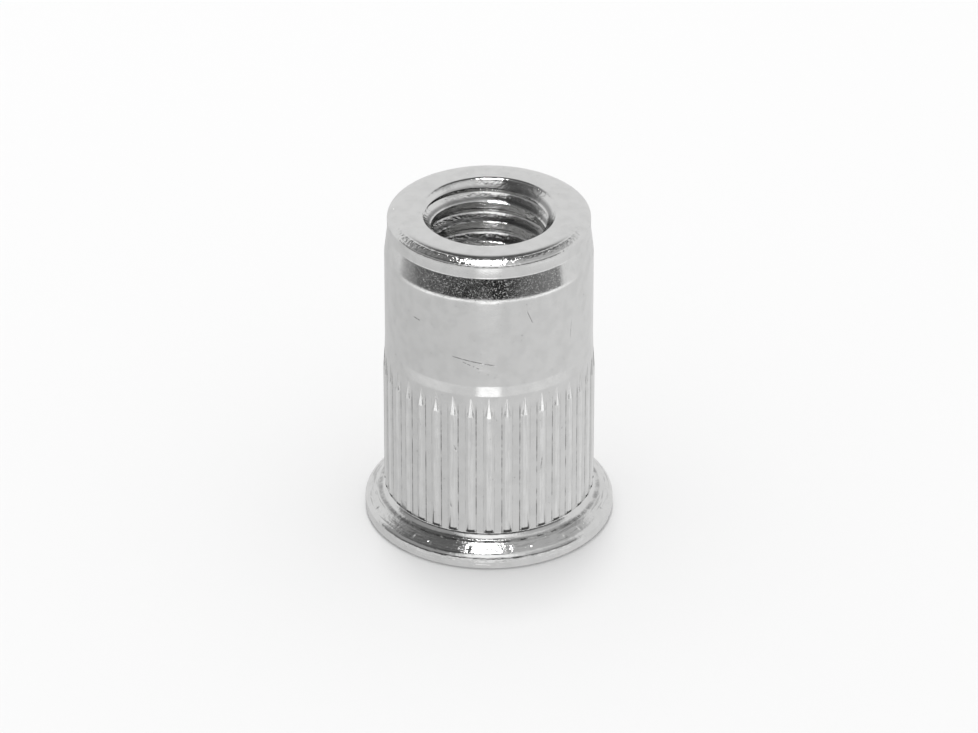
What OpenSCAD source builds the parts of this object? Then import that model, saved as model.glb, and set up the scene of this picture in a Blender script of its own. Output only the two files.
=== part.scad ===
// Rivet nut with a low flange and a knurled shank, cold formed in one piece.
//
// It stands on the outer face of its flange, which lies on z = 0 around the Z axis.
// The tail end with the thread points up along +Z. All sizes are in millimetres.

/* [Flange] */
// Outer diameter of the flange
flange_d = 10.86; // [10.4:0.02:11.4]
// Height of the flange's straight side, up to the corner that is rounded off
rim_h = 0.68; // [0.6:0.01:0.75]
// Rounding of the rim on the side of the shank
rim_r = 0.3; // [0.1:0.01:0.4]
// Rounding of the rim on the outer face
face_r = 0.2; // [0.1:0.01:0.25]
// Distance from the knurled shank out to the crease where flange and root fillet meet
crease_w = 0.285; // [0.24:0.005:0.32]
// Rise of the sloping flange from the rim's corner to that crease
crease_rise = 0.32; // [0.2:0.01:0.4]
// Radius of the hollow fillet between flange and shank
root_r = 0.3; // [0.24:0.01:0.4]

/* [Shank] */
// Height from the outer face of the flange to the tail end
overall_h = 14.76; // [14:0.02:16]
// Diameter of the plain upper shank
shank_d = 9; // [8.9:0.01:9.02]
// Distance by which the neck at the tail end lies inside the shank
neck_step = 0.13; // [0.08:0.01:0.25]
// Height of the neck, with its rounded edge
neck_h = 0.8; // [0.6:0.01:1.1]
// Height of the taper between neck and plain shank
taper_h = 1.06; // [0.8:0.01:1.2]
// Radius of the tight rounding at the tail end's outer edge
tail_r = 0.13; // [0.05:0.01:0.25]
// Radius of the gentle rounding that leads from the end face to that edge
dome_r = 1.35; // [0.8:0.05:2]

/* [Knurl] */
// Number of ribs around the shank
rib_n = 36; // [24:1:40]
// Distance by which the knurled shank stands over the plain one
knurl_step = 0.02; // [0.015:0.005:0.06]
// Width of a rib at its foot
rib_w = 0.42; // [0.3:0.01:0.46]
// Width of a rib's flat crest
crest_w = 0.2; // [0.1:0.01:0.25]
// Height of a rib over the valley
rib_h = 0.065; // [0.04:0.005:0.1]
// Gap from the root fillet up to the lower end of the ribs
rib_gap = 0.02; // [0.01:0.01:0.3]
// Length of the short blunt slope at the lower end of a rib
rib_blunt = 0.06; // [0.04:0.01:0.2]
// Height of the pointed upper end of the ribs
rib_top = 8.1; // [7.4:0.05:8.6]
// Length of the run-out that narrows a rib to its point
rib_run = 0.95; // [0.6:0.05:1.4]
// Width left at the point of a rib
rib_tip_w = 0.04; // [0.02:0.01:0.1]
// Plain stretch between the points of the ribs and the flare
flare_gap = 0.1; // [0.05:0.05:0.3]
// Height of the flare from the knurled to the plain shank
flare_h = 0.5; // [0.3:0.05:1]

/* [Hole] */
// Nominal diameter of the thread
thread_d = 6; // [5.8:0.1:6.2]
// Pitch of the thread
thread_pitch = 1; // [0.75:0.05:1.25]
// Diameter of the chamfer at the mouth of the thread
mouth_d = 5.86; // [5.8:0.02:6.2]
// Diameter of the wide plain bore behind the flange
bore_d = 7; // [6.6:0.05:7.2]
// Depth of the wide plain bore
bore_h = 8; // [7.4:0.05:8.6]
// Width of the chamfer where the wide bore meets the outer face
entry_w = 0.15; // [0.1:0.01:0.25]

/* [Hidden] */
// flat sides of a full circle
$fn = 96;
// overrun of a cut past the face that it opens
over = 1;
// depth to which the ends of a rib run into the shank
sink = 0.03;
// half angle of the drilled shoulder between the bore and the thread
drill_half_angle = 59;
// tilt of the surface where the gentle rounding of the tail end turns into the tight one
dome_tilt = 28;

flange_r = flange_d / 2;
shank_r = shank_d / 2;
neck_r = shank_r - neck_step;
valley_r = shank_r + knurl_step;
crest_r = valley_r + rib_h;
crease_r = valley_r + crease_w;
bore_r = bore_d / 2;
mouth_r = mouth_d / 2;
core_r = (thread_d - thread_pitch) / 2;

// heights of the bends up the outside
crease_h = rim_h + crease_rise;
neck_z = overall_h - neck_h;
taper_z = neck_z - taper_h;
flare_low_z = rib_top + flare_gap;
flare_top_z = flare_low_z + flare_h;
run_z = rib_top - rib_run;

// centres of the two roundings of the tail end, and the point where they meet
tail_x = neck_r - tail_r;
tail_z = overall_h - dome_r + (dome_r - tail_r) * cos(dome_tilt);
dome_x = tail_x - (dome_r - tail_r) * sin(dome_tilt);
dome_z = overall_h - dome_r;
dome_end = [tail_x + tail_r * sin(dome_tilt), tail_z + tail_r * cos(dome_tilt)];

// slope of the flange from its rim up to the crease
slope = atan2(crease_h - rim_h, flange_r - crease_r);
// distance from the rim's corner to each end of its rounding
rim_t = rim_r * tan((90 - slope) / 2);

// the fillet's circle touches the knurled shank and passes through the crease
root_x = valley_r + root_r;
root_z = crease_h + sqrt(pow(root_r, 2) - pow(root_x - crease_r, 2));
// height of the lower end of the ribs
rib_low = root_z + rib_gap;

// a rib is cut from a three-sided bar, whose outer edge lies over the crest
flank = 2 * rib_h / (rib_w - crest_w);
bar_h = flank * rib_w / 2;
bar_foot_w = rib_w + 2 * sink / flank;
// outline of a rib's point, a little wider than the rib where it starts
point_w = 1.27 * rib_w;
point_z = run_z + rib_run * point_w / (point_w - rib_tip_w);
// heights at which the ends of a rib have sunk into the shank
sunk_low_z = rib_low - rib_blunt * sink / rib_h;
sunk_top_z = rib_top + rib_run * sink / rib_h;

shoulder_h = (bore_r - core_r) / tan(drill_half_angle);
mouth_h = mouth_r - core_r;

// sector of a disc, from straight up to the tilt where the dome ends
module dome() {
    intersection() {
        circle(r = dome_r);
        polygon([
            [0, 0],
            [0, 2 * dome_r],
            [2 * dome_r * sin(dome_tilt), 2 * dome_r * cos(dome_tilt)],
        ]);
    }
}

// half section of the outside without the ribs
module outside() {
    difference() {
        union() {
            polygon([
                [0, 0],
                [flange_r - face_r, 0],
                [flange_r, face_r],
                [flange_r, rim_h - rim_t],
                [flange_r - rim_t * cos(slope), rim_h + rim_t * sin(slope)],
                [crease_r, crease_h],
                [crease_r, root_z],
                [valley_r, root_z],
                [valley_r, flare_low_z],
                [shank_r, flare_top_z],
                [shank_r, taper_z],
                [neck_r, neck_z],
                [neck_r, tail_z],
                dome_end,
                [dome_x, overall_h],
                [0, overall_h],
            ]);
            translate([flange_r - face_r, face_r])
                circle(r = face_r);
            translate([flange_r - rim_r, rim_h - rim_t])
                circle(r = rim_r);
            translate([tail_x, tail_z])
                circle(r = tail_r);
            translate([dome_x, dome_z])
                dome();
        }
        translate([root_x, root_z])
            circle(r = root_r);
    }
}

// half section of the hole: wide bore, drilled shoulder, thread core and mouth chamfer
module hole() {
    polygon([
        [0, -over],
        [bore_r + entry_w + over, -over],
        [bore_r, entry_w],
        [bore_r, bore_h],
        [core_r, bore_h + shoulder_h],
        [core_r, overall_h - mouth_h],
        [mouth_r + over, overall_h + over],
        [0, overall_h + over],
    ]);
}

// half section of the turned form that all ribs reach out to
module crests() {
    polygon([
        [0, sunk_low_z],
        [valley_r - sink, sunk_low_z],
        [crest_r, rib_low + rib_blunt],
        [crest_r, run_z],
        [valley_r - sink, sunk_top_z],
        [0, sunk_top_z],
    ]);
}

// three-sided bar with its foot inside the shank, trimmed to a point at its top
module bar() {
    intersection() {
        linear_extrude(height = point_z)
            polygon([
                [-sink, -bar_foot_w / 2],
                [bar_h, 0],
                [-sink, bar_foot_w / 2],
            ]);
        rotate([90, 0, 90])
            linear_extrude(height = 2 * bar_h + 2 * sink, center = true)
                polygon([
                    [-point_w / 2, 0],
                    [point_w / 2, 0],
                    [point_w / 2, run_z],
                    [0, point_z],
                    [-point_w / 2, run_z],
                ]);
    }
}

// ribs with sloping sides and flat crests, one of them facing the front
module ribs() {
    intersection() {
        rotate_extrude()
            crests();
        for (i = [0 : rib_n - 1])
            rotate([0, 0, i * 360 / rib_n - 90])
                translate([valley_r, 0, 0])
                    bar();
    }
}

// the whole nut
module rivet_nut() {
    color([0.8, 0.8, 0.79])
        difference() {
            union() {
                rotate_extrude()
                    outside();
                ribs();
            }
            rotate_extrude()
                hole();
        }
}

rivet_nut();
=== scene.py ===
"""Looks of a rivet nut, built around the packed part.

The nut is one turned section: a wedge of it is spun, gets one rib of the knurl and is copied around the axis.
A tap then cuts the thread. All sizes are in metres, in the frame of the packed part.
"""

import math
from types import SimpleNamespace

import bmesh
import bpy
from bpy.props import FloatProperty, FloatVectorProperty, IntProperty, PointerProperty
from bpy.types import Operator, Panel, PropertyGroup
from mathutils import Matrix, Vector


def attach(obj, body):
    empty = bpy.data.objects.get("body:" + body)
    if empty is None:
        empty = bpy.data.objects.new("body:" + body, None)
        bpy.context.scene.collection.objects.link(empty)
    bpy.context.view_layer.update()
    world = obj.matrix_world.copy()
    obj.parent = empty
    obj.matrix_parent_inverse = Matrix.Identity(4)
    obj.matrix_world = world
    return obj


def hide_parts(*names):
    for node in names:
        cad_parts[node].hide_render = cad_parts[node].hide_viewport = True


bl_info = {
    "name": "Rivet nut",
    "version": (1, 0, 0),
    "blender": (4, 5, 0),
    "location": "View3D > Sidebar > Rivet nut",
    "description": "Builds a knurled rivet nut, its plated finish and a small studio",
    "category": "Object",
}

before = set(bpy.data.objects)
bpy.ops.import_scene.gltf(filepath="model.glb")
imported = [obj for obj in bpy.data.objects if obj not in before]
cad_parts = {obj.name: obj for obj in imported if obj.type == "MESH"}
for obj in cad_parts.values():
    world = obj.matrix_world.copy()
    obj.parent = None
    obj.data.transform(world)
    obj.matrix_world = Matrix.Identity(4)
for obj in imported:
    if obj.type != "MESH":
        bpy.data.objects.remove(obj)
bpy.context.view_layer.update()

MM = 0.001
NODE = "rivet_nut"
# width of the picture in pixels, and of the camera's sensor in millimetres
IMAGE_WIDTH = 978
SENSOR_WIDTH = 36.0
# nearest distance that the camera sees, and side of the square floor
CLIP_START = 0.01
FLOOR_SIZE = 2.0
# middle of the overhead lamp, and its width and length
LAMP_PLACE = (-0.015, 0.0735, 0.5)
LAMP_SIZE = (0.072, 0.217)
# brightness of the surroundings for everything but the camera and mirroring metal
SKY_LIGHT = 0.85
# points closer than this are one point
WELD = 1e-8
# a rib faces the front, which is -Y
FRONT_ANGLE = -90.0
# edges that turn by less than this are shaded smooth
SMOOTH_ANGLE = math.radians(30)
# depth of the thread's pitch circle below its nominal radius, as a share of the pitch
PITCH_CIRCLE_DEPTH = 0.3248
# height of the cut corners at the bottom of the thread's groove, and the share of its width left between them
GROOVE_CORNER = 0.05 * MM
GROOVE_BOTTOM = 0.55
# pitches by which the tap starts below the wide bore's end, and its steps in a turn
TAP_RUN_IN = 1.6
TAP_STEPS = 144
# distance from a soft bend to the loops that support it
BEND_SUPPORT = 0.05 * MM
# shares of a run-out's length, each with the share of the rib's width there
RUN_OUT = (
    (0.0, 1.0), (0.06, 0.96), (0.14, 0.88), (0.25, 0.76), (0.4, 0.61),
    (0.55, 0.47), (0.7, 0.34), (0.84, 0.22), (0.94, 0.13), (1.0, 0.08),
)


def length(name, description, millimetres):
    """A size of the nut that a user may change."""
    return FloatProperty(
        name=name, description=description, default=millimetres * MM, unit="LENGTH", precision=5)


class FlangeSizes(PropertyGroup):
    """Sizes of the low flange that the nut stands on."""

    diameter: length("Diameter", "Outer diameter of the flange", 10.86)
    rim_height: length("Rim height", "Height of the straight side up to its rounded corner", 0.68)
    rim_round: length("Rim rounding", "Rounding of the rim on the side of the shank", 0.3)
    face_round: length("Face rounding", "Rounding of the rim on the outer face", 0.2)
    crease_width: length("Crease distance", "Distance from the knurled shank to the crease", 0.285)
    slope: FloatProperty(
        name="Slope", description="Fall of the flange from the crease to the rim",
        default=math.radians(27.3), subtype="ANGLE",
    )
    root_round: length("Root fillet", "Radius of the hollow fillet between flange and shank", 0.3)


class ShankSizes(PropertyGroup):
    """Sizes of the plain shank and of the narrow tail end."""

    height: length("Height", "Height from the outer face to the tail end", 14.76)
    diameter: length("Diameter", "Diameter of the plain upper shank", 9.0)
    neck_step: length("Neck step", "Distance by which the neck lies inside the shank", 0.13)
    neck_height: length("Neck height", "Height of the neck with its rounded edge", 0.8)
    taper_height: length("Taper height", "Height of the taper between neck and shank", 1.06)
    tail_round: length("Tail rounding", "Radius of the tight rounding at the tail end's outer edge", 0.13)
    dome_round: length("Dome rounding", "Radius of the gentle rounding from the end face to that edge", 1.35)
    dome_tilt: FloatProperty(
        name="Dome tilt", description="Tilt at which the gentle rounding turns into the tight one",
        default=math.radians(28), subtype="ANGLE",
    )
    bend_round: length("Bend rounding", "Half length of the soft bends between cones", 0.024)
    taper_round: length("Taper rounding", "Half length of the soft bend from the shank into the taper", 0.15)


class KnurlSizes(PropertyGroup):
    """Sizes of the ribs that are rolled into the lower shank."""

    ribs: IntProperty(name="Ribs", description="Number of ribs around the shank", default=36, min=3)
    step: length("Knurl step", "Distance by which the knurled shank stands over the plain one", 0.02)
    rib_width: length("Rib width", "Width of a rib at its foot", 0.42)
    crest_width: length("Crest width", "Width of a rib's flat crest", 0.2)
    rib_height: length("Rib height", "Height of a rib over the valley", 0.065)
    edge_round: length("Rib edge", "Width of the softened edges of a rib", 0.012)
    rib_gap: length("Rib gap", "Distance from the root fillet to the lower end of a rib", 0.02)
    blunt: length("Blunt end", "Length of the slope at the lower end of a rib", 0.06)
    top: length("Rib top", "Height of the pointed upper end of the ribs", 8.1)
    run_out: length("Run-out", "Length over which a rib narrows to its point", 0.95)
    flare_gap: length("Flare gap", "Plain stretch between the points and the flare", 0.1)
    flare_height: length("Flare height", "Height of the flare up to the plain shank", 0.5)


class HoleSizes(PropertyGroup):
    """Sizes of the threaded hole and of the wide bore behind the flange."""

    thread: length("Thread", "Nominal diameter of the thread", 6.0)
    pitch: length("Pitch", "Pitch of the thread", 1.0)
    groove: length("Groove", "Diameter at the bottom of the thread's groove", 5.8)
    mouth: length("Mouth", "Diameter of the chamfer at the mouth", 5.86)
    mouth_round: length("Mouth rounding", "Rounding between the end face and the chamfer", 0.3)
    web: length("Web", "Thickness of metal that the tap takes off the crests", 0.05)
    bore: length("Bore", "Diameter of the wide bore", 7.0)
    bore_depth: length("Bore depth", "Depth of the wide bore", 8.0)
    entry: length("Entry chamfer", "Width of the chamfer at the outer face", 0.15)
    drill_half_angle: FloatProperty(
        name="Drill angle", description="Half angle of the shoulder between bore and thread",
        default=math.radians(59), subtype="ANGLE",
    )


class PlatedFinish(PropertyGroup):
    """Look of the bright plated steel."""

    colour: FloatVectorProperty(
        name="Plating", description="Colour of the plated metal", size=3, subtype="COLOR",
        default=(0.82, 0.82, 0.815), min=0, max=1,
    )
    # colour of the painted highlight along the crests of the ribs
    crest_highlight: FloatVectorProperty(
        name="Highlight", description="Colour of the highlighted crests of the ribs", size=3, subtype="COLOR",
        default=(0.94, 0.94, 0.935), min=0, max=1,
    )
    # also the colour of the painted shade at the feet and lower ends of the ribs, in the thread's grooves, on
    # the run-outs' shoulders and in the crease
    stain_and_shade: FloatVectorProperty(
        name="Stain", description="Colour of specks and scratches", size=3, subtype="COLOR",
        default=(0.1, 0.1, 0.1), min=0, max=1,
    )
    roughness: FloatProperty(
        name="Roughness", description="Roughness of the clean plating", default=0.11, min=0, max=1,
        subtype="FACTOR",
    )
    grain: FloatProperty(
        name="Grain", description="Strength of the fine grain in the plating", default=0.3, min=0, max=1,
        subtype="FACTOR",
    )


class StudioSetup(PropertyGroup):
    """Camera, lamp and surroundings of the picture."""

    camera_distance: length("Camera distance", "Distance from the camera to its aim", 260.0)
    camera_elevation: FloatProperty(
        name="Camera elevation", description="Angle of the camera over the floor",
        default=math.radians(31.12), subtype="ANGLE",
    )
    aim_height: length("Aim height", "Height of the point that the camera looks at", 7.005)
    pixels_per_mm: FloatProperty(
        name="Scale", description="Pixels of the picture for a millimetre at the aim", default=23.034, min=1,
    )
    floor_colour: FloatVectorProperty(
        name="Floor", description="Colour of the pale floor", size=3, subtype="COLOR",
        default=(0.8, 0.8, 0.8), min=0, max=1,
    )
    backdrop: FloatProperty(
        name="Backdrop", description="Brightness of the backdrop", default=0.9, min=0,
    )
    lamp_power: FloatProperty(
        name="Lamp power", description="Power of the overhead lamp", default=1.0, min=0, unit="POWER",
    )


# Section of the nut


def arc(centre, radius, start, end, steps):
    """Points of an arc in the half section, with its angles in degrees."""
    points = []
    for i in range(steps + 1):
        angle = math.radians(start + (end - start) * i / steps)
        points.append((centre[0] + radius * math.cos(angle), centre[1] + radius * math.sin(angle)))
    return points


def soft_bend(before, corner, after, reach, steps=2):
    """A shallow bend drawn as a short curve, with a loop of support at each end."""
    corner = Vector(corner)
    towards = (Vector(before) - corner).normalized()
    away = (Vector(after) - corner).normalized()
    points = [corner + towards * (reach + BEND_SUPPORT)]
    for i in range(steps + 1):
        share = i / steps
        points.append(corner + towards * reach * (1 - share) ** 2 + away * reach * share ** 2)
    points.append(corner + away * (reach + BEND_SUPPORT))
    return [tuple(point) for point in points]


class Section:
    """Named radii and heights of the half section, worked out from the sizes."""

    def __init__(self, scene):
        flange, shank = scene.nut_flange, scene.nut_shank
        knurl, hole = scene.nut_knurl, scene.nut_hole
        self.height = shank.height
        self.flange_r = flange.diameter / 2
        self.shank_r = shank.diameter / 2
        self.valley_r = self.shank_r + knurl.step
        self.crest_r = self.valley_r + knurl.rib_height
        self.neck_r = self.shank_r - shank.neck_step
        self.neck_z = shank.height - shank.neck_height
        self.taper_z = self.neck_z - shank.taper_height
        self.crease_r = self.valley_r + flange.crease_width
        self.crease_z = flange.rim_height + (self.flange_r - self.crease_r) * math.tan(flange.slope)
        self.root_x = self.valley_r + flange.root_round
        rise = math.sqrt(flange.root_round ** 2 - (self.root_x - self.crease_r) ** 2)
        self.root_z = self.crease_z + rise
        self.rib_low = self.root_z + knurl.rib_gap
        self.rib_full = self.rib_low + knurl.blunt
        self.rib_top = knurl.top
        self.run_z = knurl.top - knurl.run_out
        self.flare_low = knurl.top + knurl.flare_gap
        self.flare_top = self.flare_low + knurl.flare_height
        self.crest_thread_r = (hole.thread - hole.pitch) / 2
        self.core_r = self.crest_thread_r - hole.web
        self.bore_r = hole.bore / 2
        self.mouth_r = hole.mouth / 2
        self.mouth_z = shank.height - (self.mouth_r - self.core_r)
        self.shoulder_z = hole.bore_depth + (self.bore_r - self.core_r) / math.tan(hole.drill_half_angle)
        self.bore_z = hole.bore_depth

    def rib_rows(self):
        """Heights of the rows along a rib, each with the share of the rib's height and width there."""
        # halfway up its blunt end a rib has this share of its height, which rounds the end
        blunt_share = 0.62
        support = 0.02 * MM
        steps = 6
        rows = [(self.rib_low, 0.0, 1.0), ((self.rib_low + self.rib_full) / 2, blunt_share, 1.0)]
        straight = [self.rib_full, self.rib_full + support, self.rib_full + 3 * support]
        straight += [self.rib_full + (self.run_z - self.rib_full) * i / steps for i in range(1, steps)]
        straight += [self.run_z - 3 * support, self.run_z - support]
        rows += [(height, 1.0, 1.0) for height in straight]
        for share, width in RUN_OUT:
            rows.append((self.run_z + (self.rib_top - self.run_z) * share, 1.0 - share, width))
        return rows

    def points(self, scene):
        """The closed half section as (radius, height), from the bore's entry outwards and up."""
        return self.flange_points(scene) + self.shank_points(scene) + self.hole_points(scene)

    def flange_points(self, scene):
        """The outer face, the rim, the slope and the root fillet."""
        flange, hole = scene.nut_flange, scene.nut_hole
        face_steps, rim_steps, root_steps = 7, 12, 14
        slope = math.degrees(flange.slope)
        rim_t = flange.rim_round * math.tan(math.radians((90 - slope) / 2))
        rim_centre = (self.flange_r - flange.rim_round, flange.rim_height - rim_t)
        face_centre = (self.flange_r - flange.face_round, flange.face_round)
        entry_r = self.bore_r + hole.entry
        points = [(self.bore_r, hole.entry), (entry_r, 0.0), ((entry_r + face_centre[0]) / 2, 0.0)]
        points += arc(face_centre, flange.face_round, -90, 0, face_steps)
        points += arc(rim_centre, flange.rim_round, 0, 90 - slope, rim_steps)
        # the slope, with two loops that support the crease
        crease = Vector((self.crease_r, self.crease_z))
        fall = Vector((math.cos(flange.slope), -math.sin(flange.slope)))
        support = 0.012 * MM
        points.append(tuple((Vector(points[-1]) + crease) / 2))
        points += [tuple(crease + distance * fall) for distance in (3 * support, support)]
        root_start = math.degrees(math.atan2(self.crease_z - self.root_z, self.crease_r - self.root_x))
        root = arc((self.root_x, self.root_z), flange.root_round, root_start % 360, 180, root_steps)
        return points + root[1:]

    def shank_points(self, scene):
        """The knurled shank, the flare, the plain shank, the taper, the neck and the rounded tail end."""
        shank = scene.nut_shank
        shank_rows, taper_steps, tail_steps, dome_steps = 4, 6, 8, 10
        rib_end = (self.valley_r, self.rib_top)
        flare_low = (self.valley_r, self.flare_low)
        flare_top = (self.shank_r, self.flare_top)
        taper = (self.shank_r, self.taper_z)
        neck = (self.neck_r, self.neck_z)
        points = [(self.valley_r, row[0]) for row in self.rib_rows()]
        points += soft_bend(rib_end, flare_low, flare_top, shank.bend_round / 2)
        points += soft_bend(flare_low, flare_top, taper, shank.bend_round / 2)
        for i in range(1, shank_rows):
            points.append((self.shank_r, self.flare_top + (self.taper_z - self.flare_top) * i / shank_rows))
        points += soft_bend(flare_top, taper, neck, shank.taper_round, taper_steps)
        points += soft_bend(taper, neck, (self.neck_r, self.height), shank.bend_round)

        tilt = math.degrees(shank.dome_tilt)
        spread = shank.dome_round - shank.tail_round
        dome_z = self.height - shank.dome_round
        tail_centre = (self.neck_r - shank.tail_round, dome_z + spread * math.cos(shank.dome_tilt))
        dome_centre = (tail_centre[0] - spread * math.sin(shank.dome_tilt), dome_z)
        points += arc(tail_centre, shank.tail_round, 0, 90 - tilt, tail_steps)
        points += arc(dome_centre, shank.dome_round, 90 - tilt, 90, dome_steps)[1:]
        return points

    def hole_points(self, scene):
        """The rounded mouth with its chamfer, the thread's core, the shoulder and the wide bore."""
        hole = scene.nut_hole
        mouth_steps, core_rows = 8, 12
        chamfer_angle = 45.0
        edge_x = self.mouth_r + hole.mouth_round * math.tan(math.radians(chamfer_angle / 2))
        mouth_centre = (edge_x, self.height - hole.mouth_round)
        points = arc(mouth_centre, hole.mouth_round, 90, 90 + chamfer_angle, mouth_steps)
        for i in range(core_rows + 1):
            points.append((self.core_r, self.mouth_z + (self.shoulder_z - self.mouth_z) * i / core_rows))
        points += [(self.bore_r, self.bore_z), (self.bore_r, (self.bore_z + hole.entry) / 2)]
        return points


# Modelling steps


def start_mesh(name, place):
    """Adds a small plane, names it and leaves it in edit mode as a single point at the given place."""
    bpy.ops.object.select_all(action="DESELECT")
    bpy.ops.mesh.primitive_plane_add(size=MM, location=place)
    piece = bpy.context.active_object
    piece.name = name
    piece.data.name = name
    bpy.ops.object.transform_apply(location=True, rotation=True, scale=True)
    bpy.ops.object.mode_set(mode="EDIT")
    bpy.ops.mesh.select_all(action="SELECT")
    bpy.ops.mesh.merge(type="CENTER")
    return piece


def draw_chain(points):
    """Extrudes the selected point along a chain of places, of which it is the first."""
    here = Vector(points[0])
    for place in points[1:]:
        step = Vector(place) - here
        bpy.ops.mesh.extrude_region_move(TRANSFORM_OT_translate={"value": step})
        here = Vector(place)


def weld():
    """Merges the points of the whole mesh that lie on each other and turns its faces outwards."""
    bpy.ops.mesh.select_all(action="SELECT")
    bpy.ops.mesh.remove_doubles(threshold=WELD)
    bpy.ops.mesh.normals_make_consistent(inside=False)


def move_point(mesh, point, place):
    """Moves one point of a mesh in edit mode to a new place."""
    for other in mesh.verts:
        other.select_set(other is point)
    mesh.select_flush_mode()
    bpy.ops.transform.translate(value=Vector(place) - point.co)


def polar(radius, degrees, height):
    angle = math.radians(degrees)
    return Vector((radius * math.cos(angle), radius * math.sin(angle), height))


def wedge_angles(knurl, section):
    """Angles of the columns of one wedge, in degrees from the middle of its rib."""
    foot = math.degrees(knurl.rib_width / 2 / section.valley_r)
    crest = math.degrees(knurl.crest_width / 2 / section.crest_r)
    edge = math.degrees(knurl.edge_round / section.valley_r)
    half = 180 / knurl.ribs
    side = [crest / 2, crest - edge, crest, foot, foot + edge, (foot + edge + half) / 2, half]
    return [-a for a in reversed(side)] + [0.0] + side, crest, foot + edge


def spin_wedge(angles):
    """Spins the selected chain through the columns of a wedge."""
    for before, after in zip(angles, angles[1:]):
        angle = math.radians(before - after)
        bpy.ops.mesh.spin(steps=1, angle=angle, center=(0, 0, 0), axis=(0, 0, 1), use_auto_merge=False)


def raise_rib(piece, section, crest, foot):
    """Shapes the rib of a wedge: full height between its edges, blunt below and pointed at the top."""
    mesh = bmesh.from_edit_mesh(piece.data)
    rows = section.rib_rows()
    # a point this close to a row or column, in metres or degrees, belongs to it
    near, beside = 0.002 * MM, 0.01
    moves = []
    for point in mesh.verts:
        radius = math.hypot(point.co.x, point.co.y)
        if abs(radius - section.valley_r) > near:
            continue
        row = next((r for r in rows if abs(r[0] - point.co.z) < near), None)
        angle = math.degrees(math.atan2(point.co.y, point.co.x)) - FRONT_ANGLE
        if row is None or abs(angle) > foot + beside:
            continue
        lift = row[1] * (section.crest_r - section.valley_r) if abs(angle) < crest + beside else 0.0
        place = polar(section.valley_r + lift, FRONT_ANGLE + angle * row[2], point.co.z)
        if (place - point.co).length > near / 100:
            moves.append((point, place))
    for point, place in moves:
        move_point(mesh, point, place)
    bmesh.update_edit_mesh(piece.data)


def copy_wedge(ribs):
    """Copies the wedge around the axis until it closes."""
    bpy.ops.mesh.select_all(action="SELECT")
    turn = 2 * math.pi * (ribs - 1) / ribs
    bpy.ops.mesh.spin(steps=ribs - 1, dupli=True, angle=turn, center=(0, 0, 0), axis=(0, 0, 1))
    weld()


def make_tap(scene, section):
    """A screw-shaped cutter that reaches from the wide bore to above the tail end."""
    hole = scene.nut_hole
    pitch = hole.pitch
    inside = section.crest_thread_r
    outside = hole.groove / 2
    # the groove is half a pitch wide on the pitch circle and has sides at 30 degrees
    flank = math.tan(math.radians(30))
    pitch_circle = hole.thread / 2 - PITCH_CIRCLE_DEPTH * pitch
    apex = pitch_circle + pitch / 4 / flank

    def half_width(radius):
        return (apex - radius) * flank

    # the corners of the groove's bottom are cut off
    corner = outside - GROOVE_CORNER
    bottom = half_width(outside) * GROOVE_BOTTOM
    low = section.bore_z - TAP_RUN_IN * pitch
    middle = low + pitch / 2
    profile = [
        (inside, low),
        (inside, middle - half_width(inside)),
        (corner, middle - half_width(corner)),
        (outside, middle - bottom),
        (outside, middle + bottom),
        (corner, middle + half_width(corner)),
        (inside, middle + half_width(inside)),
        (inside, low + pitch),
    ]
    chain = [polar(r, 0, z) for r, z in profile]
    tap = start_mesh("tap", chain[0])
    draw_chain(chain)
    bpy.ops.object.mode_set(mode="OBJECT")
    screw = tap.modifiers.new("turns", "SCREW")
    screw.axis = "Z"
    screw.angle = 2 * math.pi
    screw.screw_offset = pitch
    screw.iterations = int((section.height - low) / pitch) + 2
    screw.steps = screw.render_steps = TAP_STEPS
    screw.use_merge_vertices = True
    screw.merge_threshold = WELD
    bpy.ops.object.modifier_apply(modifier=screw.name)
    bpy.ops.object.mode_set(mode="EDIT")
    bpy.ops.mesh.select_mode(type="VERT")
    weld()
    for side in (-1, 1):
        bpy.ops.mesh.select_all(action="DESELECT")
        bpy.ops.mesh.select_non_manifold(
            extend=False, use_wire=False, use_boundary=True, use_multi_face=False, use_non_contiguous=False,
            use_verts=False)
        mesh = bmesh.from_edit_mesh(tap.data)
        half = low + (section.height - low) / 2
        for point in mesh.verts:
            if point.select and (point.co.z - half) * side < 0:
                point.select_set(False)
        mesh.select_flush_mode()
        bmesh.update_edit_mesh(tap.data)
        bpy.ops.mesh.extrude_region_move(TRANSFORM_OT_translate={"value": (0, 0, side * pitch)})
        bpy.ops.mesh.merge(type="CENTER")
    weld()
    bpy.ops.object.mode_set(mode="OBJECT")
    return tap


def cut_thread(piece, tap):
    """Cuts the tap out of the nut and takes the tap away."""
    bpy.ops.object.select_all(action="DESELECT")
    piece.select_set(True)
    bpy.context.view_layer.objects.active = piece
    cut = piece.modifiers.new("thread", "BOOLEAN")
    cut.operation = "DIFFERENCE"
    cut.solver = "MANIFOLD"
    cut.object = tap
    bpy.ops.object.modifier_apply(modifier=cut.name)
    bpy.data.objects.remove(tap)


# Materials


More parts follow.
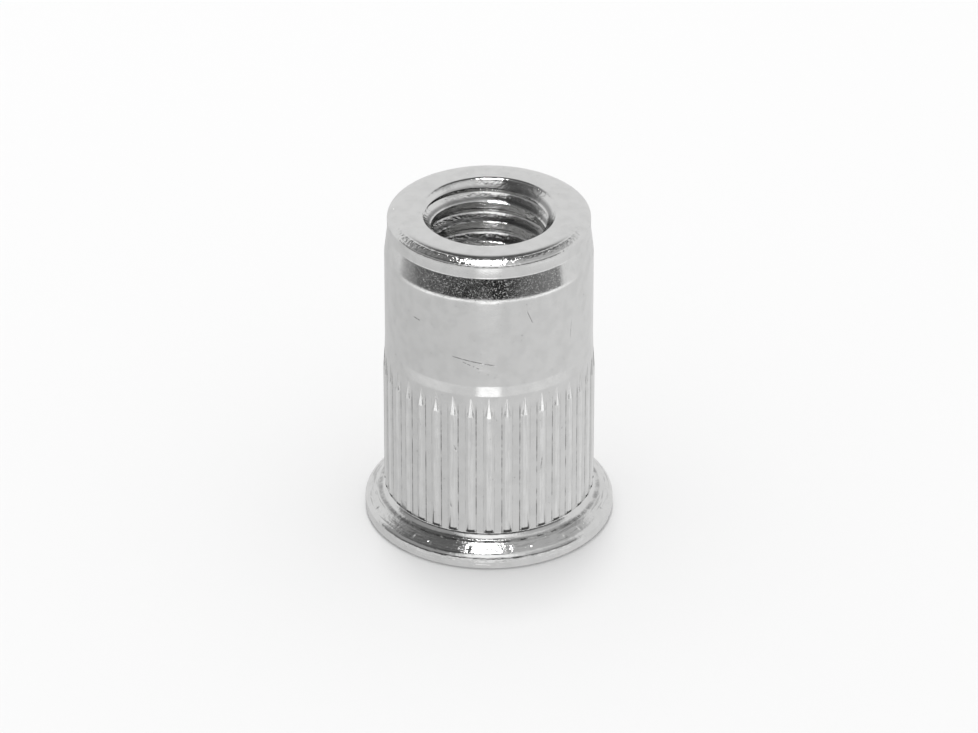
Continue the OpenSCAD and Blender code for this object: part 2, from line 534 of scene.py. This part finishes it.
class Nodes:
    """Short ways to add and link nodes of one node tree."""

    def __init__(self, tree):
        self.tree = tree

    def add(self, kind, **values):
        made = self.tree.nodes.new(kind)
        for key, value in values.items():
            setattr(made, key, value)
        return made

    def link(self, out, into):
        self.tree.links.new(out, into)

    def feed(self, socket, value):
        """Gives a socket a plain value or links it to an output."""
        if isinstance(value, bpy.types.NodeSocket):
            self.link(value, socket)
        else:
            socket.default_value = value

    def math(self, operation, *values):
        made = self.add("ShaderNodeMath", operation=operation)
        for socket, value in zip(made.inputs, values):
            self.feed(socket, value)
        return made.outputs[0]

    def times(self, *values):
        """Product of two or more values."""
        result = values[0]
        for value in values[1:]:
            result = self.math("MULTIPLY", result, value)
        return result

    def most(self, *values):
        """Largest of two or more values."""
        result = values[0]
        for value in values[1:]:
            result = self.math("MAXIMUM", result, value)
        return result

    def ramp(self, value, low, high, to_low=0.0, to_high=1.0):
        """A soft step from one value to another."""
        made = self.add("ShaderNodeMapRange", interpolation_type="SMOOTHSTEP")
        for name, number in zip(("Value", "From Min", "From Max", "To Min", "To Max"),
                                (value, low, high, to_low, to_high)):
            self.feed(made.inputs[name], number)
        return made.outputs["Result"]

    def fall(self, value, low, high, start=1.0):
        """A soft step down to nothing."""
        return self.ramp(value, low, high, start, 0.0)

    def band(self, value, low, high, soft):
        """Mask of a band between two values, with soft edges."""
        return self.times(
            self.ramp(value, low - soft, low + soft), self.fall(value, high - soft, high + soft))

    def mix(self, factor, a, b, kind="FLOAT"):
        made = self.add("ShaderNodeMix", data_type=kind)
        for name, value in (("Factor", factor), ("A", a), ("B", b)):
            self.feed(made.inputs[name], value)
        return made.outputs["Result"]

    def vector(self, x, y, z=0.0):
        made = self.add("ShaderNodeCombineXYZ")
        for socket, value in zip(made.inputs, (x, y, z)):
            self.feed(socket, value)
        return made.outputs[0]

    def split(self, vector):
        made = self.add("ShaderNodeSeparateXYZ")
        self.link(vector, made.inputs[0])
        return made.outputs

    def noise(self, vector, scale, detail=2.0, roughness=0.5):
        made = self.add("ShaderNodeTexNoise")
        self.link(vector, made.inputs["Vector"])
        for name, number in (("Scale", scale), ("Detail", detail), ("Roughness", roughness)):
            made.inputs[name].default_value = number
        return made.outputs["Fac"]

    def bump(self, height, strength, distance, normal=None, invert=False):
        made = self.add("ShaderNodeBump", invert=invert)
        made.inputs["Strength"].default_value = strength
        made.inputs["Distance"].default_value = distance
        self.link(height, made.inputs["Height"])
        if normal:
            self.link(normal, made.inputs["Normal"])
        return made.outputs["Normal"]


def hairline_group():
    """Node group: mask of one thin scratch between two places on the unrolled shank."""
    group = bpy.data.node_groups.new("hairline", "ShaderNodeTree")
    for name in ("Place", "Start", "Along", "Across"):
        group.interface.new_socket(name, in_out="INPUT", socket_type="NodeSocketVector")
    for name in ("Length", "Width"):
        group.interface.new_socket(name, in_out="INPUT", socket_type="NodeSocketFloat")
    group.interface.new_socket("Mask", in_out="OUTPUT", socket_type="NodeSocketFloat")
    nodes = Nodes(group)
    given = nodes.add("NodeGroupInput").outputs
    result = nodes.add("NodeGroupOutput").inputs

    def vector(operation, a, b):
        made = nodes.add("ShaderNodeVectorMath", operation=operation)
        nodes.link(a, made.inputs[0])
        nodes.link(b, made.inputs[1])
        return made

    offset = vector("SUBTRACT", given["Place"], given["Start"]).outputs["Vector"]
    along = vector("DOT_PRODUCT", offset, given["Along"]).outputs["Value"]
    across = nodes.math("ABSOLUTE", vector("DOT_PRODUCT", offset, given["Across"]).outputs["Value"])
    # shares of the width and of the length over which the scratch fades
    side = nodes.fall(nodes.math("DIVIDE", across, given["Width"]), 0.3, 1.0)
    share = nodes.math("DIVIDE", along, given["Length"])
    ends = nodes.times(nodes.ramp(share, 0.0, 0.25), nodes.fall(share, 0.75, 1.0))
    nodes.link(nodes.times(side, ends), result["Mask"])
    return group


# scratches on the unrolled shank: distance round from the front and height at both ends, and width, in mm
HAIRLINES = (
    (-1.85, 10.12, 0.46, 9.73, 0.030),
    (-1.23, 9.91, -0.20, 9.49, 0.022),
    (-3.74, 11.43, -3.14, 11.36, 0.035),
    (-1.52, 5.73, -1.40, 5.36, 0.045),
    (2.36, 4.92, 2.26, 4.15, 0.045),
    (-4.12, 4.90, -4.02, 4.15, 0.040),
    (-1.70, 2.90, -1.62, 2.45, 0.040),
    (1.62, 12.35, 1.95, 11.55, 0.025),
    (4.05, 11.10, 3.95, 10.10, 0.022),
    (-3.30, 3.60, -3.18, 3.25, 0.035),
)


class PlatedSteel:
    """Bright plated steel, with painted shade and a painted highlight among its patterns. Each method makes
    one pattern, laid out in millimetres and degrees.
    """

    # share of the dark colour where each kind of mark, dark ring, cloud or painted shade is darkest; the
    # shares for the feet, grooves, shoulders and crease are painted shade
    MARKS = 0.5
    FOOT_SHADE = 0.75
    GROOVE_SHADE = 0.62
    SHOULDER_SHADE = 0.26
    CREASE_SHADE = 0.55
    RINGS = 0.33
    CLOUDS = 0.07
    # roughness that waves in the plating add or take, and that the dark marks and painted shade add
    WAVE_ROUGHNESS = 0.03
    STAIN_ROUGHNESS = 0.2
    # unevenness of tumbled metal, which is 1 at the tail end
    HOLE_TUMBLE = 0.8
    FLANGE_TUMBLE = 0.48
    # streaks of the painted highlight on the crests are narrow around the nut and long up it
    STREAK_SCALE = (9.0, 9.0, 0.8)
    # rings of the flange are long around it, per radian, and narrow across it, per millimetre
    RING_SCALE_ROUND = 4.0
    RING_SCALE_ACROSS = 9.0

    def __init__(self, scene):
        self.finish, knurl = scene.nut_finish, scene.nut_knurl
        section = Section(scene)
        # the section's radii and heights in millimetres
        self.mm = SimpleNamespace(**{name: value / MM for name, value in vars(section).items()})
        self.mm.groove_r = scene.nut_hole.groove / 2 / MM
        # half angles of a rib's crest, of its foot and of its pitch
        self.crest = math.degrees(knurl.crest_width / 2 / section.crest_r)
        self.foot = math.degrees(knurl.rib_width / 2 / section.valley_r)
        self.half_pitch = 180 / knurl.ribs
        self.material = bpy.data.materials.new("plated_steel")
        self.material.use_nodes = True
        self.nodes = Nodes(self.material.node_tree)
        self.lay_out()
        self.coat()

    def lay_out(self):
        """Coordinates of the surface, and the masks and noises that several patterns share."""
        nodes, mm = self.nodes, self.mm
        scaled = nodes.add("ShaderNodeVectorMath", operation="SCALE")
        scaled.inputs["Scale"].default_value = 1 / MM
        nodes.link(nodes.add("ShaderNodeTexCoord").outputs["Object"], scaled.inputs[0])
        self.place = scaled.outputs[0]
        x, y, self.z = nodes.split(self.place)
        self.turn = nodes.math("ARCTAN2", x, nodes.times(y, -1.0))
        self.degrees = nodes.times(self.turn, 180 / math.pi)
        self.radius = nodes.math("SQRT", nodes.math("ADD", nodes.times(x, x), nodes.times(y, y)))
        self.from_middle = nodes.math("PINGPONG", self.degrees, self.half_pitch)

        self.outside = nodes.ramp(self.radius, mm.neck_r - 0.4, mm.neck_r - 0.3)
        self.threaded = nodes.ramp(self.z, mm.bore_z, mm.bore_z + 0.5)
        self.knurled = nodes.times(
            nodes.ramp(self.z, mm.rib_low - 0.04, mm.rib_low),
            nodes.fall(self.z, mm.rib_top - 0.75, mm.rib_top - 0.2), self.outside)

        self.waves = nodes.noise(self.place, scale=0.9)
        self.broad = nodes.noise(self.place, scale=0.8)
        self.patches = nodes.noise(self.place, scale=1.7, detail=3.0)
        # patches that make the painted shade at the feet of the ribs and in the crease uneven
        patchy = nodes.noise(self.place, scale=1.3, detail=4.0, roughness=0.7)
        self.uneven = nodes.ramp(patchy, 0.35, 0.62, 0.15, 1.0)

    def marks(self):
        """Specks in patches, and hairlines on the unrolled shank."""
        nodes = self.nodes
        specks = nodes.ramp(nodes.noise(self.place, scale=9.0), 0.70, 0.76)
        marks = nodes.times(specks, nodes.ramp(self.patches, 0.5, 0.62))
        unrolled = nodes.vector(nodes.times(self.turn, self.mm.shank_r), self.z)
        ragged = nodes.ramp(nodes.noise(self.place, scale=5.0, detail=3.0), 0.35, 0.55, 0.15, 1.0)
        group = hairline_group()
        for start_s, start_z, end_s, end_z, width in HAIRLINES:
            along = Vector((end_s - start_s, end_z - start_z, 0.0))
            step = along.normalized()
            line = nodes.add("ShaderNodeGroup", node_tree=group)
            values = (
                ("Place", unrolled), ("Start", (start_s, start_z, 0.0)), ("Along", step),
                ("Across", (-step.y, step.x, 0.0)), ("Length", along.length), ("Width", width),
            )
            for name, value in values:
                nodes.feed(line.inputs[name], value)
            marks = nodes.most(marks, nodes.times(line.outputs["Mask"], ragged, self.outside))
        return marks

    def rib_painted_shade(self):
        """Painted shade along the feet of the ribs, strongest on each rib's side that faces the front, and a
        painted shadow under their lower ends.
        """
        nodes, low = self.nodes, self.mm.rib_low
        from_foot = nodes.math("ABSOLUTE", nodes.math("SUBTRACT", self.from_middle, self.foot + 0.3))
        side = nodes.math("WRAP", self.degrees, self.half_pitch, -self.half_pitch)
        away = nodes.times(side, nodes.ramp(self.degrees, -12.0, 12.0, -1.0, 1.0))
        facing = nodes.ramp(away, -1.0, 1.0, 1.0, 0.3)
        # painted shade in the hollows along the feet of the ribs, darker on the side that faces the front
        feet = nodes.times(nodes.fall(from_foot, 0.1, 0.5, self.FOOT_SHADE), self.knurled, self.uneven, facing)
        # painted shadow under the lower end of each rib
        under = nodes.times(
            nodes.ramp(self.z, low - 0.03, low), nodes.fall(self.z, low + 0.13, low + 0.19),
            nodes.fall(self.from_middle, 1.7, 2.5), self.outside)
        return nodes.most(feet, under)

    def grooves_painted_shade(self):
        """Painted shade in the grooves of the thread and on the lower part of the mouth's chamfer."""
        nodes, mm = self.nodes, self.mm
        return nodes.times(
            nodes.ramp(self.radius, mm.crest_thread_r + 0.02, mm.crest_thread_r + 0.1),
            nodes.fall(self.radius, mm.groove_r - 0.26, mm.groove_r - 0.12, self.GROOVE_SHADE), self.threaded)

    def shoulders_painted_shade(self):
        """Painted shade on the sides of the run-outs, which leaves the middle bright, on some of them less
        than on others.
        """
        nodes, mm = self.nodes, self.mm
        left = nodes.math("SUBTRACT", mm.rib_top, self.z)
        half_width = nodes.most(nodes.times(left, self.foot / (mm.rib_top - mm.run_z)), 0.1 * self.foot)
        across = nodes.math("DIVIDE", self.from_middle, half_width)
        thinner = nodes.fall(self.broad, 0.35, 0.62, 0.3)
        return nodes.times(
            nodes.ramp(nodes.math("ADD", across, thinner), 0.35, 0.6),
            nodes.fall(across, 0.95, 1.1, self.SHOULDER_SHADE),
            nodes.band(self.z, mm.run_z, mm.rib_top, 0.06), self.outside)

    def crease_painted_shade(self):
        """Painted shade in the crease around the foot of the shank."""
        nodes, mm = self.nodes, self.mm
        return nodes.times(
            nodes.band(self.radius, mm.crease_r - 0.14, mm.crease_r + 0.05, 0.05), self.uneven,
            nodes.fall(self.z, mm.rib_low - 0.1, mm.rib_low, self.CREASE_SHADE))

    def flange_rings(self):
        """Fine rings around the flange: their height, and a mask of the dark ones on its slope."""
        nodes, mm = self.nodes, self.mm
        rings = nodes.noise(nodes.vector(
            nodes.times(self.turn, self.RING_SCALE_ROUND), nodes.times(self.radius, self.RING_SCALE_ACROSS),
            nodes.times(self.z, self.RING_SCALE_ACROSS)), scale=1.0, detail=3.0, roughness=0.6)
        on_flange = nodes.fall(self.z, mm.rib_low - 0.2, mm.rib_low - 0.05)
        dark = nodes.times(
            nodes.ramp(rings, 0.5, 0.64, 0.0, self.RINGS), on_flange,
            nodes.band(self.radius, mm.crease_r, mm.flange_r - 0.14, 0.05), nodes.ramp(self.z, 0.4, 0.6))
        return nodes.times(rings, on_flange), dark

    def crest_highlight_streaks(self):
        """Painted highlight: the crests of the ribs are brighter, in uneven streaks."""
        nodes = self.nodes
        streaks = nodes.add("ShaderNodeMapping")
        streaks.inputs["Scale"].default_value = self.STREAK_SCALE
        nodes.link(self.place, streaks.inputs["Vector"])
        return nodes.times(
            nodes.fall(self.from_middle, self.crest * 0.8, self.crest * 1.5), self.knurled,
            nodes.ramp(nodes.noise(streaks.outputs[0], scale=1.0), 0.35, 0.6, 0.2, 1.0))

    def drawn_grain(self):
        """The taper is drawn and has a coarser grain."""
        nodes, mm = self.nodes, self.mm
        coarse = nodes.ramp(nodes.noise(self.place, scale=16.0, roughness=0.6), 0.6, 0.72)
        return nodes.times(coarse, nodes.band(self.z, mm.taper_z, mm.neck_z, 0.06), self.outside)

    def dents(self):
        """Small dents on the slope of the flange, below the ribs."""
        nodes, mm = self.nodes, self.mm
        return nodes.times(
            nodes.fall(self.from_middle, 0.0, 1.6), nodes.ramp(self.broad, 0.4, 0.55),
            nodes.band(self.radius, mm.flange_r - 0.36, mm.flange_r - 0.24, 0.12))

    def tumbled(self):
        """Uneven tumbled metal, most on the rounded tail end and less in the hole and on the flange."""
        nodes, mm = self.nodes, self.mm
        tail_end = nodes.times(nodes.band(self.z, mm.height - 0.3, mm.height - 0.03, 0.03), self.outside)
        in_hole = nodes.times(
            nodes.fall(self.radius, mm.groove_r - 0.02, mm.groove_r + 0.1, self.HOLE_TUMBLE), self.threaded)
        flange = nodes.fall(self.z, mm.rib_low - 0.1, mm.rib_low, self.FLANGE_TUMBLE)
        return nodes.times(nodes.noise(self.place, scale=6.0), nodes.most(tail_end, in_hole, flange))

    def normal(self, rings, marks):
        """All that is too fine for the mesh, laid over each other as bumps."""
        nodes = self.nodes
        grain = nodes.noise(self.place, scale=20.0, detail=3.0, roughness=0.65)
        ripple = nodes.noise(self.place, scale=5.0, detail=4.0, roughness=0.6)
        # height, strength, depth in millimetres, and whether it goes into the metal
        layers = (
            (grain, self.finish.grain, 0.004, False),
            (self.drawn_grain(), 0.4, 0.008, False),
            (self.dents(), 0.9, 0.029, True),
            (self.tumbled(), 0.8, 0.024, False),
            (rings, 0.7, 0.02, False),
            (ripple, 0.07, 0.01, False),
            (self.waves, 0.3, 0.01, False),
            (marks, 0.5, 0.01, True),
        )
        normal = None
        for height, strength, depth, inwards in layers:
            normal = nodes.bump(height, strength, depth * MM, normal, inwards)
        return normal

    def coat(self):
        """Puts the patterns together on the metal."""
        nodes, finish = self.nodes, self.finish
        shader = self.material.node_tree.nodes["Principled BSDF"]
        shader.inputs["Metallic"].default_value = 1.0
        marks = self.marks()
        rings, dark_rings = self.flange_rings()
        # dark marks and dark rings, together with the painted shade of feet, grooves, shoulders and crease
        dark_marks_and_shade = nodes.most(
            nodes.times(marks, self.MARKS), self.rib_painted_shade(), self.grooves_painted_shade(), self.shoulders_painted_shade(),
            self.crease_painted_shade(), dark_rings)
        clouds = nodes.ramp(self.patches, 0.35, 0.7, 0.0, self.CLOUDS)

        # painted highlight: the crests of the ribs get the brighter colour
        plating = nodes.mix(self.crest_highlight_streaks(), (*finish.colour, 1), (*finish.crest_highlight, 1), "RGBA")
        tone = nodes.mix(nodes.most(dark_marks_and_shade, clouds), plating, (*finish.stain_and_shade, 1), "RGBA")
        nodes.link(tone, shader.inputs["Base Color"])
        smoothest, roughest = finish.roughness - self.WAVE_ROUGHNESS, finish.roughness + self.WAVE_ROUGHNESS
        rough = nodes.ramp(self.waves, 0.3, 0.7, smoothest, roughest)
        rough = nodes.math("ADD", rough, nodes.times(dark_marks_and_shade, self.STAIN_ROUGHNESS))
        nodes.link(rough, shader.inputs["Roughness"])
        nodes.link(self.normal(rings, marks), shader.inputs["Normal"])


def floor_material(studio):
    """Pale matt paper."""
    material = bpy.data.materials.new("studio_floor")
    material.use_nodes = True
    shader = material.node_tree.nodes["Principled BSDF"]
    shader.inputs["Base Color"].default_value = (*studio.floor_colour, 1)
    shader.inputs["Roughness"].default_value = 0.9
    return material


class MirroredRoom:
    """Brightness of the room that the metal mirrors: pale, with a dark front.

    Directions are in degrees: elevation upwards from level, azimuth round from the front to the right.
    """

    # the paper on the floor, and the share of its glare along the far edge
    PAPER_LEFT = 0.61
    PAPER_RIGHT = 0.71
    PAPER_GLARE = 1.6
    EDGE_GLARE = 0.62
    # the front, and the bright strip and the window over it
    FRONT_MIDDLE = 0.015
    FRONT_SIDE = 0.12
    FRONT_RIGHT = 0.2
    LEFT_WALL = 0.32
    LOW_LEFT = 0.4
    STRIP = 1.1
    UPPER_RIGHT = 0.48
    WINDOW = 0.7
    # the back and the ceiling over it
    BACK = 0.76
    CEILING_LEFT = 0.26
    CEILING_RIGHT = 0.46
    CEILING_FAR = 0.08
    # fall of the paper's far edge for each degree to the side
    EDGE_FALL = 0.03

    def __init__(self, nodes):
        self.nodes = nodes
        self.x, self.y, z = nodes.split(nodes.add("ShaderNodeTexCoord").outputs["Generated"])
        self.elevation = nodes.times(nodes.math("ARCSINE", z), 180 / math.pi)
        self.azimuth = nodes.times(nodes.math("ARCTAN2", self.x, nodes.times(self.y, -1.0)), 180 / math.pi)
        self.width = nodes.math("ABSOLUTE", self.azimuth)
        self.level = nodes.math("ADD", self.elevation, nodes.times(self.width, self.EDGE_FALL))

    def paper(self):
        """The paper on the floor, with a bright patch in front and a bright far edge."""
        nodes = self.nodes
        patch = nodes.times(
            nodes.ramp(self.elevation, -28.5, -26.8), nodes.fall(self.elevation, -25.4, -24.4),
            nodes.fall(self.width, 8.0, 16.0))
        edge = nodes.times(
            nodes.ramp(self.level, -24.8, -23.4), nodes.fall(self.level, -21.0, -19.5),
            nodes.fall(self.width, 60.0, 120.0, self.EDGE_GLARE))
        plain = nodes.ramp(self.azimuth, -110.0, 110.0, self.PAPER_LEFT, self.PAPER_RIGHT)
        return nodes.mix(nodes.most(patch, edge), plain, self.PAPER_GLARE)

    def front(self):
        """The dark front, with a wall on the left, a window on the right and a bright strip above."""
        nodes = self.nodes
        low_left = nodes.times(
            nodes.fall(self.azimuth, -120.0, -75.0), nodes.fall(self.elevation, -12.0, 0.0))
        wall = nodes.times(nodes.ramp(self.elevation, -6.0, 6.0), nodes.fall(self.elevation, 36.0, 46.0))
        dark = nodes.ramp(self.width, 10.0, 100.0, self.FRONT_MIDDLE, self.FRONT_SIDE)
        dark = nodes.mix(low_left, nodes.mix(wall, dark, self.LEFT_WALL), self.LOW_LEFT)
        dark = nodes.mix(nodes.ramp(self.azimuth, 10.0, 80.0), dark, self.FRONT_RIGHT)

        above = nodes.ramp(self.elevation, 0.0, 14.0)
        upper_right = nodes.times(above, nodes.ramp(self.azimuth, 5.0, 40.0))
        pane = nodes.times(nodes.ramp(self.elevation, 38.0, 46.0), nodes.fall(self.elevation, 58.0, 66.0))
        window = nodes.mix(pane, self.UPPER_RIGHT, self.WINDOW)
        strip = nodes.times(above, nodes.fall(self.elevation, 58.0, 70.0), nodes.fall(self.width, 16.0, 42.0))
        return nodes.mix(strip, nodes.mix(upper_right, dark, window), self.STRIP)

    def back(self):
        """The pale back, as high as the backdrop, and the ceiling over it."""
        nodes = self.nodes
        ceiling = nodes.ramp(self.azimuth, -10.0, 10.0, self.CEILING_LEFT, self.CEILING_RIGHT)
        ceiling = nodes.mix(nodes.ramp(self.width, 138.0, 156.0), ceiling, self.CEILING_FAR)
        return nodes.mix(nodes.ramp(self.elevation, 38.0, 48.0), self.BACK, ceiling)

    def brightness(self):
        """The whole room. The back also shows along the open right side."""
        nodes = self.nodes
        right_back = nodes.times(nodes.ramp(self.y, 0.1, 0.45), nodes.ramp(self.x, -0.02, 0.02))
        open_side = nodes.most(
            nodes.ramp(self.y, 0.22, 0.38), right_back, nodes.ramp(self.azimuth, 80.0, 88.0))
        room = nodes.mix(open_side, self.front(), self.back())
        return nodes.mix(nodes.ramp(self.level, -20.5, -18.5), self.paper(), room)


# Operators


class NUT_OT_form(Operator):
    """Model the rivet nut with its ribs and thread"""

    bl_idname = "rivet_nut.form"
    bl_label = "Form the nut"
    bl_options = {"REGISTER", "UNDO"}

    def execute(self, context):
        scene = context.scene
        section = Section(scene)
        outline = section.points(scene)
        angles, crest, foot = wedge_angles(scene.nut_knurl, section)
        chain = [polar(r, FRONT_ANGLE + angles[0], z) for r, z in outline]
        piece = start_mesh("rivet_nut_body", chain[0])
        bpy.ops.mesh.select_mode(type="VERT")
        draw_chain(chain + chain[:1])
        bpy.ops.mesh.select_all(action="SELECT")
        bpy.ops.mesh.remove_doubles(threshold=WELD)
        spin_wedge(angles)
        raise_rib(piece, section, crest, foot)
        copy_wedge(scene.nut_knurl.ribs)
        bpy.ops.object.mode_set(mode="OBJECT")
        cut_thread(piece, make_tap(scene, section))
        bpy.ops.object.shade_smooth_by_angle(angle=SMOOTH_ANGLE)
        piece.data.materials.clear()
        piece.data.materials.append(PlatedSteel(scene).material)
        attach(piece, "root")
        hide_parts(NODE)
        return {"FINISHED"}


class NUT_OT_stage(Operator):
    """Set the floor, the lamp, the surroundings and the camera"""

    bl_idname = "rivet_nut.stage"
    bl_label = "Set the stage"
    bl_options = {"REGISTER", "UNDO"}

    def execute(self, context):
        scene = context.scene
        studio = scene.nut_studio
        self.lay_floor(studio)
        self.hang_lamp(studio)
        self.paint_surroundings(scene, studio)
        self.set_camera(scene, studio)
        scene.view_settings.view_transform = "Standard"
        return {"FINISHED"}

    def lay_floor(self, studio):
        bpy.ops.object.select_all(action="DESELECT")
        bpy.ops.mesh.primitive_plane_add(size=FLOOR_SIZE)
        floor = bpy.context.active_object
        floor.name = "studio_floor"
        floor.data.materials.append(floor_material(studio))
        floor.visible_glossy = False

    def hang_lamp(self, studio):
        bpy.ops.object.light_add(type="AREA", location=LAMP_PLACE)
        lamp = bpy.context.active_object
        lamp.name = "overhead_lamp"
        lamp.data.shape = "RECTANGLE"
        lamp.data.size, lamp.data.size_y = LAMP_SIZE
        lamp.data.energy = studio.lamp_power

    def paint_surroundings(self, scene, studio):
        """White backdrop for the camera, pale light all around, and the room for what the metal mirrors."""
        world = bpy.data.worlds.new("studio_world")
        scene.world = world
        world.use_nodes = True
        nodes = Nodes(world.node_tree)
        shader = world.node_tree.nodes["Background"]
        path = nodes.add("ShaderNodeLightPath").outputs
        seen = nodes.mix(path["Is Camera Ray"], SKY_LIGHT, studio.backdrop)
        strength = nodes.mix(path["Is Glossy Ray"], seen, MirroredRoom(nodes).brightness())
        nodes.link(strength, shader.inputs["Strength"])
        shader.inputs["Color"].default_value = (1, 1, 1, 1)

    def set_camera(self, scene, studio):
        aim = Vector((0, 0, studio.aim_height))
        elevation = studio.camera_elevation
        offset = Vector((0, -math.cos(elevation), math.sin(elevation))) * studio.camera_distance
        bpy.ops.object.camera_add(location=aim + offset)
        camera = bpy.context.active_object
        camera.name = "photo_camera"
        camera.rotation_euler = (-offset).to_track_quat("-Z", "Y").to_euler()
        focal_pixels = studio.pixels_per_mm * studio.camera_distance / MM
        camera.data.sensor_width = SENSOR_WIDTH
        camera.data.lens = SENSOR_WIDTH * focal_pixels / IMAGE_WIDTH
        camera.data.clip_start = CLIP_START
        scene.camera = camera


class NUT_PT_panel(Panel):
    """Sizes and steps of the rivet nut"""

    bl_label = "Rivet nut"
    bl_idname = "NUT_PT_panel"
    bl_space_type = "VIEW_3D"
    bl_region_type = "UI"
    bl_category = "Rivet nut"

    def draw(self, context):
        layout = self.layout
        for operator in OPERATORS:
            layout.operator(operator.bl_idname)
        for attribute, group in SETTINGS.items():
            box = layout.box()
            box.label(text=group.__doc__)
            settings = getattr(context.scene, attribute)
            for name in group.__annotations__:
                box.prop(settings, name)


SETTINGS = {
    "nut_flange": FlangeSizes,
    "nut_shank": ShankSizes,
    "nut_knurl": KnurlSizes,
    "nut_hole": HoleSizes,
    "nut_finish": PlatedFinish,
    "nut_studio": StudioSetup,
}
OPERATORS = (NUT_OT_form, NUT_OT_stage)
CLASSES = (*SETTINGS.values(), *OPERATORS, NUT_PT_panel)


def register():
    for cls in CLASSES:
        bpy.utils.register_class(cls)
    for attribute, group in SETTINGS.items():
        setattr(bpy.types.Scene, attribute, PointerProperty(type=group))


def unregister():
    for attribute in SETTINGS:
        delattr(bpy.types.Scene, attribute)
    for cls in reversed(CLASSES):
        bpy.utils.unregister_class(cls)


def main():
    register()
    bpy.ops.rivet_nut.form()
    bpy.ops.rivet_nut.stage()


if __name__ == "__main__":
    main()
